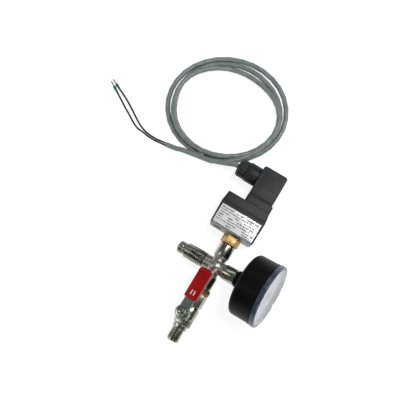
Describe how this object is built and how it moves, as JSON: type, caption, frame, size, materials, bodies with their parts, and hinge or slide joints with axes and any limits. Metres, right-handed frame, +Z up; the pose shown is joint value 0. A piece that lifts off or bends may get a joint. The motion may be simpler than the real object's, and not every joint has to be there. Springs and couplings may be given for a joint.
{
  "type": "pressure switch",
  "caption": "Pressure switch with cable plug on a nickel-plated cross manifold with gauge, relief valve and lever ball valve; threaded inlet, coiled lead with two ferruled cores.",
  "frame": {"origin": "on the surface the assembly lies on, under the middle of its box, the cable aside", "axes": "+Z up, +Y along the main pipe run from the inlet to the plug, +X towards the gauge"},
  "size_m": [0.2766, 0.3029, 0.0714],
  "materials": {
    "cast_nickel": "matt nickel-plated cast brass",
    "nickel": "turned, nickel-plated brass",
    "brass": "turned",
    "chrome": "polished",
    "ptfe": "machined PTFE",
    "zinc_plate": "zinc plated",
    "steel": "ground",
    "spring_steel": "drawn wire",
    "red_vinyl": "dip-moulded vinyl",
    "rubber": "moulded",
    "black_steel": "satin black enamel",
    "black_paint": "matt",
    "white_dial": "satin white",
    "clear_lens": "clear moulded acrylic",
    "grey_diecast": "die cast",
    "black_polyamide": "fine moulded texture",
    "white_label": "laminated film",
    "phenolic": "moulded",
    "white_plastic": "moulded",
    "contact_metal": "tin plated",
    "grey_pvc": "extruded",
    "black_pvc": "extruded",
    "teal_plastic": "moulded"
  },
  "bodies": {
    "manifold": {"cross_fitting": "cast_nickel", "double_nipple": "brass", "valve_body": "nickel", "valve_end_piece": "nickel", "valve_seats": "ptfe", "stem_packing": "ptfe", "packing_nut": "nickel", "relief_body": "nickel", "relief_spring": "spring_steel", "relief_cap": "nickel", "relief_lock_screw": "spring_steel", "gauge_case": "black_steel", "gauge_socket": "brass", "bourdon_tube": "brass", "movement_plates": "brass", "hairspring": "spring_steel", "gauge_dial": "white_dial", "gauge_lens": "clear_lens", "dial_screws": "zinc_plate", "pressure_port": "brass", "base_plate": "grey_diecast", "housing": "black_polyamide", "top_cover": "black_polyamide", "cover_screws": "zinc_plate", "rating_label": "white_label", "diaphragm": "rubber", "rocker_pin": "steel", "range_spring": "spring_steel", "set_screw_clip": "spring_steel", "snap_switch": "phenolic", "plug_pins": "contact_metal", "plug_gasket": "rubber", "plug_housing": "black_polyamide", "terminal_block": "black_polyamide", "plug_screw": "zinc_plate", "gland_nut": "black_polyamide", "gland_seal": "rubber", "gland_washer": "zinc_plate", "cable_lead": "grey_pvc", "cable_coil": "grey_pvc", "cable_tail": "grey_pvc", "conductors": "black_pvc", "ferrule_collars": "teal_plastic", "ferrule_pins": "contact_metal"},
    "handle": {"valve_ball": "chrome", "valve_stem": "brass", "valve_lever": "zinc_plate", "lever_sleeve": "red_vinyl", "lever_nut": "zinc_plate"},
    "relief_poppet": {"relief_poppet": "brass", "relief_seal": "rubber"},
    "pointer": {"gauge_pointer": "black_paint", "gauge_arbor": "brass"},
    "sector": {"gauge_sector": "brass"},
    "link": {"gauge_link": "brass"},
    "piston": {"piston": "steel"},
    "rocker": {"rocker": "steel"},
    "button": {"switch_button": "white_plastic"},
    "adjuster": {"set_screw": "zinc_plate"},
    "spring_seat": {"spring_plate": "steel"}
  },
  "joints": [
    {"name": "lever_turn", "type": "hinge", "parent": "manifold", "child": "handle", "pos_m": [-0.01364, -0.07108, 0.02156], "axis": [-0.305, 0.0337, 0.9518], "range_deg": [0, 90]},
    {"name": "poppet_lift", "type": "slide", "parent": "manifold", "child": "relief_poppet", "axis": [-0.9523, -0.0108, -0.3048], "range_m": [0, 0.0015], "stiffness_N_per_m": 3000, "springref_m": -0.004, "deforming": ["relief_spring"]},
    {"name": "pointer_turn", "type": "hinge", "parent": "manifold", "child": "pointer", "pos_m": [0.04369, -0.01397, 0.03791], "axis": [-0.9523, -0.0108, -0.3048], "range_deg": [0, 270]},
    {"name": "sector_swing", "type": "hinge", "parent": "manifold", "child": "sector", "pos_m": [0.01941, -0.02863, 0.03064], "axis": [-0.9523, -0.0108, -0.3048], "range_deg": [-40, 0]},
    {"name": "link_pull", "type": "slide", "parent": "manifold", "child": "link", "axis": [0.305, -0.0337, -0.9518], "range_m": [0, 0.00174], "stiffness_N_per_m": 60, "springref_m": -0.001, "deforming": ["bourdon_tube", "hairspring"]},
    {"name": "piston_lift", "type": "slide", "parent": "manifold", "child": "piston", "axis": [0, 0.9994, -0.0354], "range_m": [0, 0.0004], "stiffness_N_per_m": 3000, "springref_m": -0.003, "deforming": ["range_spring"]},
    {"name": "rocker_tilt", "type": "hinge", "parent": "manifold", "child": "rocker", "pos_m": [-0.02264, 0.04185, 0.01756], "axis": [0, 0.0354, 0.9994], "range_deg": [0, 3]},
    {"name": "button_press", "type": "slide", "parent": "manifold", "child": "button", "axis": [0, 0.9994, -0.0354], "range_m": [0, 0.0008]},
    {"name": "set_screw_turn", "type": "hinge", "parent": "manifold", "child": "adjuster", "pos_m": [-0.03304, 0.02646, 0.0181], "axis": [0, 0.9994, -0.0354], "range_deg": [-360, 720]},
    {"name": "spring_seat_travel", "type": "slide", "parent": "manifold", "child": "spring_seat", "axis": [0, 0.9994, -0.0354], "range_m": [-0.00075, 0.0015]}
  ],
  "couplings": [
    {"joint": "pointer_turn", "follows": "link_pull", "rad_per_m": 2705.6},
    {"joint": "sector_swing", "follows": "link_pull", "rad_per_m": -338.2},
    {"joint": "rocker_tilt", "follows": "piston_lift", "rad_per_m": 111.11},
    {"joint": "button_press", "follows": "piston_lift", "ratio": 1.3333},
    {"joint": "set_screw_turn", "follows": "spring_seat_travel", "rad_per_m": 8377.6}
  ]
}
